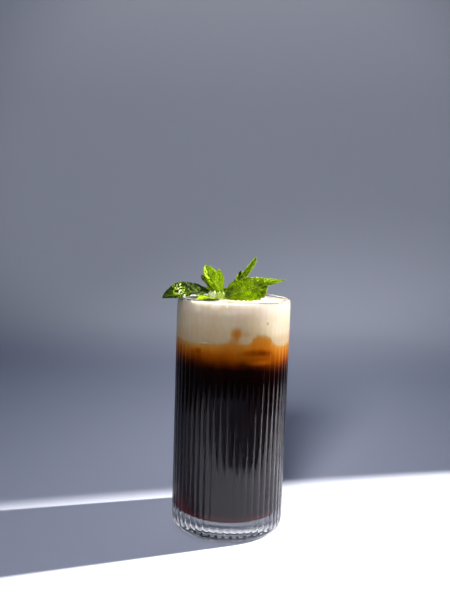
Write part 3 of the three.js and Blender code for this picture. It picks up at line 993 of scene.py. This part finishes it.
def tube(path, radii):
    """A closed tube along a path, with a blunt point at both ends."""
    points = [path[0] - (path[1] - path[0]).normalized() * radii[0] * 0.5]
    side = (path[1] - path[0]).orthogonal()
    for k, (place, radius) in enumerate(zip(path, radii)):
        ahead = (path[min(k + 1, len(path) - 1)] - path[max(k - 1, 0)]).normalized()
        side = (side - ahead * side.dot(ahead)).normalized()
        over = ahead.cross(side)
        for s in range(TUBE_SECTORS):
            a = 2 * math.pi * s / TUBE_SECTORS
            points.append(place + (side * math.cos(a) + over * math.sin(a)) * radius)
    points.append(path[-1] + (path[-1] - path[-2]).normalized() * radii[-1] * 0.5)
    return points, ring_faces(len(path), TUBE_SECTORS)


def stem_material():
    """Mint stem: soft and finely bumpy, blotched with a brownish tinge, with a satin skin."""
    material, tree = new_material("fresh mint stem")
    place = add_node(tree, "ShaderNodeTexCoord").outputs["Object"]
    blush = add_node(tree, "ShaderNodeTexNoise", {
        "Scale": 1 / (3 * MM), "Detail": 2.0, "Vector": place})
    colour = add_node(tree, "ShaderNodeMix", {
        "data_type": "RGBA", "A": linear("#7f9a34"), "B": linear("#5c4a2c"), "Factor": blush})
    hairs = add_node(tree, "ShaderNodeTexNoise", {"Scale": 1 / (0.4 * MM), "Vector": place})
    bump = add_node(tree, "ShaderNodeBump", {
        "Strength": 0.4, "Distance": 0.05 * MM, "Height": hairs})
    shader = add_node(tree, "ShaderNodeBsdfPrincipled", {
        "Roughness": 0.5, "IOR": 1.42, "Subsurface Weight": 0.3,
        "Subsurface Radius": (0.8, 0.9, 0.3), "Subsurface Scale": 0.6 * MM,
        "Base Color": colour.outputs[2], "Normal": bump})
    add_node(tree, "ShaderNodeOutputMaterial", {"Surface": shader})
    return material


# A stalk's and a tuft's radii in millimetres, from the stem outwards, and how far along its leaf a
# stalk ends and under its middle a tuft is held
STALK_RADII = (0.65, 0.6, 0.55, 0.5, 0.35, 0.15)
STALK_REACH = 0.12
TUFT_RADII = (0.9, 0.9, 0.9, 0.7)
TUFT_DROP = Vector((0, 0, 1.6)) * MM


class MOJITO_OT_mint_stem(bpy.types.Operator):
    """Makes the stem that stands in the cream and the leaf stalks that leave it"""
    bl_idname = "mojito.mint_stem"
    bl_label = "Mint stem"

    def execute(self, context):
        foot = Vector((STEM_TOP.x, STEM_TOP.y, CREAM_TOP - STEM_DEPTH))
        shares = np.linspace(0, 1, 12)
        tubes = [([foot.lerp(STEM_TOP, s) for s in shares],
                  [STEM_RADIUS * (1 - 0.25 * s + 0.12 * s ** 6) for s in shares])]
        for leaf in LEAVES:
            base, tip = (Vector(leaf[k]) * MM for k in ("base", "tip"))
            join = base.lerp(tip, STALK_REACH)
            start = Vector((STEM_TOP.x, STEM_TOP.y, min(base.z, STEM_TOP.z)))
            path = [start.lerp(base, s) for s in (0, 0.35, 0.7)]
            path += [base.lerp(join, s) for s in (0.1, 0.6, 1)]
            tubes.append((path, [r * MM for r in STALK_RADII]))
        for crown in CROWNS:
            low = Vector(crown["centre"]) * MM - TUFT_DROP
            tubes.append(([STEM_TOP.lerp(low, s) for s in (0, 0.35, 0.7, 1)],
                          [r * MM for r in TUFT_RADII]))
        points, faces = [], []
        for path, radii in tubes:
            some, sheets = tube(path, radii)
            offset = len(points)
            points += some
            faces += [tuple(offset + k for k in face) for face in sheets]
        piece = new_object("mint_stem", points, faces, stem_material())
        stand_for(piece, "mint_sprig")
        return {"FINISHED"}


# Stage

# The paper under and behind the glass, in metres from the glass's axis. Past its edges the floor is
# dark, and the sweep turns pale again between the two heights of DARK_TOP.
PAPER_HALF_WIDTH = 0.25
PAPER_WIDENS = 1.5
PAPER_FRONT = 0.32
PAPER_EDGE = 20 * MM
DARK_TOP = (0.02, 0.1)

# The sweep, in metres: its flat radius, the round that turns it up, the wall's height, and how far
# it lies under the glass's foot
SWEEP_FLAT, SWEEP_BEND, SWEEP_WALL = 0.7, 0.5, 1.3
SWEEP_DROP = 0.2 * MM
SWEEP_SECTORS = 96

# Spotlights: name, colour, place in metres, aim in millimetres, cone in degrees, softness of its
# edge, how much higher than wide it is, and the lamp's radius in metres
LIGHTS = (
    ("key", "#fff9f2", (0.90, 0.28, 0.52), (20, -44, 40), 9.6, 0.1, 3.6, 0.012),
    ("fill", "#f6f3fb", (-0.26, -1.02, 0.62), (0, 10, 105), 26, 0.6, 1, 0.24),
    ("back", "#fff8ee", (0, 0.25, 1.1), (0, 1300, 260), 80, 0.4, 1, 0.2),
)


class MOJITO_OT_stage(bpy.types.Operator):
    """Makes the pale floor, the lights and the camera"""
    bl_idname = "mojito.stage"
    bl_label = "Stage"

    def execute(self, context):
        settings = context.scene.mojito_stage
        self.floor()
        self.lights(context, settings)
        self.camera(context)
        scene = context.scene
        scene.view_settings.view_transform = "Standard"
        scene.view_settings.look = "Medium High Contrast"
        scene.cycles.use_denoising = True
        scene.cycles.max_bounces = 16
        scene.cycles.transmission_bounces = 14
        scene.cycles.glossy_bounces = 6
        return {"FINISHED"}

    def floor(self):
        """A round sweep: a flat floor that curves up into a wall well away from the glass. The
        paper on it is a little wider than the view, and round it the floor is dark."""
        material, tree = new_material("pale paper sweep")
        place = add_node(tree, "ShaderNodeTexCoord").outputs["Object"]
        x, y, z = add_node(tree, "ShaderNodeSeparateXYZ", {"Vector": place}).outputs
        to_side = add_node(tree, "ShaderNodeMath", {"operation": "ABSOLUTE", 0: x})
        behind = add_node(tree, "ShaderNodeMath", {"operation": "MAXIMUM", 0: y, 1: 0.0})
        widening = add_node(tree, "ShaderNodeMath", {
            "operation": "MULTIPLY_ADD", 0: behind, 1: -PAPER_WIDENS, 2: -PAPER_HALF_WIDTH})
        past_side = add_node(tree, "ShaderNodeMath", {"operation": "ADD", 0: to_side, 1: widening})
        past_front = add_node(tree, "ShaderNodeMath", {
            "operation": "MULTIPLY_ADD", 0: y, 1: -1.0, 2: -PAPER_FRONT})
        past = add_node(tree, "ShaderNodeMath", {
            "operation": "MAXIMUM", 0: past_side, 1: past_front})
        past_paper = add_node(tree, "ShaderNodeMapRange", {"Value": past, "From Max": PAPER_EDGE})
        low = add_node(tree, "ShaderNodeMapRange", {
            "Value": z, "From Min": DARK_TOP[1], "From Max": DARK_TOP[0]})
        dark = add_node(tree, "ShaderNodeMath", {"operation": "MULTIPLY", 0: past_paper, 1: low})
        colour = add_node(tree, "ShaderNodeMix", {
            "data_type": "RGBA", "A": linear("#cbd1df"), "B": linear("#2e2f33"), "Factor": dark})
        tooth = add_node(tree, "ShaderNodeTexNoise", {
            "Scale": 1 / (2 * MM), "Detail": 2.0, "Vector": place})
        bump = add_node(tree, "ShaderNodeBump", {
            "Strength": 0.05, "Distance": 0.1 * MM, "Height": tooth})
        shader = add_node(tree, "ShaderNodeBsdfPrincipled", {
            "Roughness": 0.9, "Specular IOR Level": 0.2, "Base Color": colour.outputs[2],
            "Normal": bump})
        add_node(tree, "ShaderNodeOutputMaterial", {"Surface": shader})
        rows = [(r, -SWEEP_DROP) for r in (0.02, 0.1, 0.3, 0.5)]
        rows += [(r, z - SWEEP_DROP)
                 for r, z in arc(SWEEP_FLAT, SWEEP_BEND, SWEEP_BEND, -90, 0, 16)]
        rows.append((SWEEP_FLAT + SWEEP_BEND, SWEEP_WALL))
        turns = np.linspace(0, 2 * math.pi, SWEEP_SECTORS, endpoint=False)
        points = [(0, 0, -SWEEP_DROP)]
        points += [(r * math.cos(a), r * math.sin(a), z) for r, z in rows for a in turns]
        # The sweep faces inwards and is open at the top
        closed = ring_faces(len(rows), SWEEP_SECTORS)
        faces = [face[::-1] for face in closed if max(face) < len(points)]
        new_object("pale_sweep", points, faces, material)

    def lights(self, context, settings):
        """The even light from all round and the spotlights."""
        world = bpy.data.worlds.new("studio")
        context.scene.world = world
        world.use_nodes = True
        background = world.node_tree.nodes["Background"].inputs
        background["Color"].default_value = linear("#c9d2e4")
        background["Strength"].default_value = settings.sky
        for name, colour, place, aim, cone, blend, stretch, size in LIGHTS:
            data = bpy.data.lights.new(name, "SPOT")
            data.energy = getattr(settings, name + "_power")
            data.color = linear(colour)[:3]
            data.spot_size = math.radians(cone)
            data.spot_blend = blend
            data.shadow_soft_size = size
            light = bpy.data.objects.new(name, data)
            light.location = place
            ahead = Vector(aim) * MM - Vector(place)
            light.rotation_euler = ahead.to_track_quat("-Z", "Y").to_euler()
            light.scale = (1, stretch, 1)
            context.scene.collection.objects.link(light)

    def camera(self, context):
        """The camera at the photograph's place and angle."""
        yaw, pitch, roll = (math.radians(a) for a in (CAMERA_YAW, CAMERA_PITCH, CAMERA_ROLL))
        ahead = Vector((math.sin(yaw) * math.cos(pitch), math.cos(yaw) * math.cos(pitch),
                        -math.sin(pitch)))
        right = Vector((math.cos(yaw), -math.sin(yaw), 0))
        above = right.cross(ahead)
        leaning = right * math.cos(roll) + above * math.sin(roll)
        upright = -right * math.sin(roll) + above * math.cos(roll)
        data = bpy.data.cameras.new("camera")
        data.sensor_width = SENSOR_MM
        data.lens = FOCAL_PIXELS / FRAME_HEIGHT * SENSOR_MM
        camera = bpy.data.objects.new("camera", data)
        turn = Matrix((leaning, upright, -ahead)).transposed().to_4x4()
        camera.matrix_world = Matrix.Translation(CAMERA_PLACE) @ turn
        context.scene.collection.objects.link(camera)
        context.scene.camera = camera


# Panel and registration

class MOJITO_PT_panel(bpy.types.Panel):
    """Lists the settings and the operators"""
    bl_label = "Mint Mojito Coffee"
    bl_space_type = "VIEW_3D"
    bl_region_type = "UI"
    bl_category = "Drinks"

    def draw(self, context):
        scene = context.scene
        for group, names in (
            (scene.mojito_glass, ("rib_count", "rib_depth", "rib_squareness", "first_groove",
                                   "colour")),
            (scene.mojito_drink, ("coffee", "amber", "cream")),
            (scene.mojito_mint, ("leaf", "young", "pucker")),
            (scene.mojito_stage, ("key_power", "fill_power", "back_power", "sky")),
        ):
            column = self.layout.column()
            for name in names:
                column.prop(group, name)
        for operator in OPERATORS:
            self.layout.operator(operator.bl_idname)


GROUPS = {
    "mojito_glass": GlassSettings,
    "mojito_drink": DrinkSettings,
    "mojito_mint": MintSettings,
    "mojito_stage": StageSettings,
}
OPERATORS = (
    MOJITO_OT_stage,
    MOJITO_OT_glass,
    MOJITO_OT_coffee,
    MOJITO_OT_blend,
    MOJITO_OT_cream,
    MOJITO_OT_mint_leaves,
    MOJITO_OT_mint_crown,
    MOJITO_OT_mint_stem,
)


def register():
    for name, group in GROUPS.items():
        bpy.utils.register_class(group)
        setattr(bpy.types.Scene, name, bpy.props.PointerProperty(type=group))
    for operator in OPERATORS:
        bpy.utils.register_class(operator)
    bpy.utils.register_class(MOJITO_PT_panel)


def unregister():
    bpy.utils.unregister_class(MOJITO_PT_panel)
    for operator in reversed(OPERATORS):
        bpy.utils.unregister_class(operator)
    for name, group in GROUPS.items():
        delattr(bpy.types.Scene, name)
        bpy.utils.unregister_class(group)


def main():
    register()
    bpy.ops.mojito.stage()
    bpy.ops.mojito.glass()
    bpy.ops.mojito.coffee()
    bpy.ops.mojito.blend()
    bpy.ops.mojito.cream()
    bpy.ops.mojito.mint_leaves()
    bpy.ops.mojito.mint_crown()
    bpy.ops.mojito.mint_stem()


if __name__ == "__main__":
    main()
